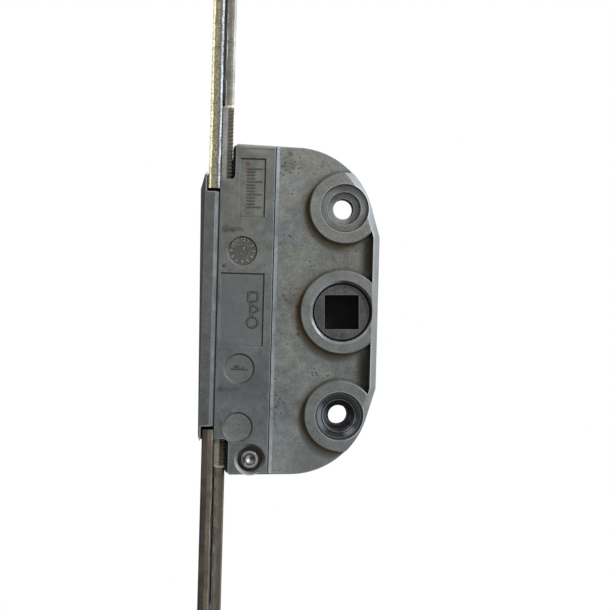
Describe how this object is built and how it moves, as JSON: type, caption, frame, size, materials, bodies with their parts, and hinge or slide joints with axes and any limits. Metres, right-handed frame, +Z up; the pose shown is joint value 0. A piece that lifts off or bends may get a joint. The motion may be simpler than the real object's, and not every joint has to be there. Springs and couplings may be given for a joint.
{
  "type": "window espagnolette",
  "caption": "Window espagnolette: die-cast gearbox with a square spindle socket, a rack drive, faceplate strips, sliding rods and locking cams.",
  "frame": {"origin": "on the spindle's axis, midway between the two handle screws, at the joint of the two housing halves", "axes": "+Z up along the rods as installed in a window's stile, +X from the faceplates to the spindle side, -Y towards the handle"},
  "size_m": [0.0451, 0.016, 0.25],
  "materials": {
    "cast_zinc": "as-cast zinc alloy, oily and slightly pitted",
    "bright_steel": "zinc-plated steel",
    "dark_steel": "oiled sintered steel",
    "yellow_steel": "yellow-passivated steel",
    "brown_steel": "aged yellow-passivated steel",
    "black_plastic": "moulded plastic"
  },
  "bodies": {
    "casing": {"front_housing": "cast_zinc", "back_housing": "cast_zinc", "housing_rivet": "bright_steel", "upper_screw_bush": "bright_steel", "lower_screw_bush": "dark_steel", "upper_faceplate": "yellow_steel", "lower_faceplate": "brown_steel", "upper_rod_guide": "black_plastic", "lower_rod_guide": "black_plastic", "upper_guide_rivets": "bright_steel", "lower_guide_rivets": "bright_steel"},
    "drive_nut": {"pinion": "dark_steel", "spindle_spring": "dark_steel"},
    "rods": {"rack_slide": "dark_steel", "upper_drive_rod": "yellow_steel", "lower_drive_rod": "brown_steel", "upper_cam_pin": "bright_steel", "lower_cam_pin": "bright_steel", "upper_cam_bush": "dark_steel", "lower_cam_bush": "dark_steel"},
    "upper_roller": {"upper_cam_roller": "bright_steel"},
    "lower_roller": {"lower_cam_roller": "bright_steel"}
  },
  "joints": [
    {"name": "rod_slide", "type": "slide", "parent": "casing", "child": "rods", "axis": [0, 0, 1], "range_m": [0, 0.018]},
    {"name": "spindle_turn", "type": "hinge", "parent": "casing", "child": "drive_nut", "pos_m": [0, 0, 0], "axis": [0, 1, 0], "range_deg": [0, 90]},
    {"name": "upper_roller_spin", "type": "hinge", "parent": "rods", "child": "upper_roller", "pos_m": [-0.032, 0, 0.085], "axis": [1, 0, 0], "continuous": true},
    {"name": "lower_roller_spin", "type": "hinge", "parent": "rods", "child": "lower_roller", "pos_m": [-0.032, 0, -0.103], "axis": [1, 0, 0], "continuous": true}
  ],
  "couplings": [
    {"joint": "spindle_turn", "follows": "rod_slide", "rad_per_m": 87.266}
  ]
}
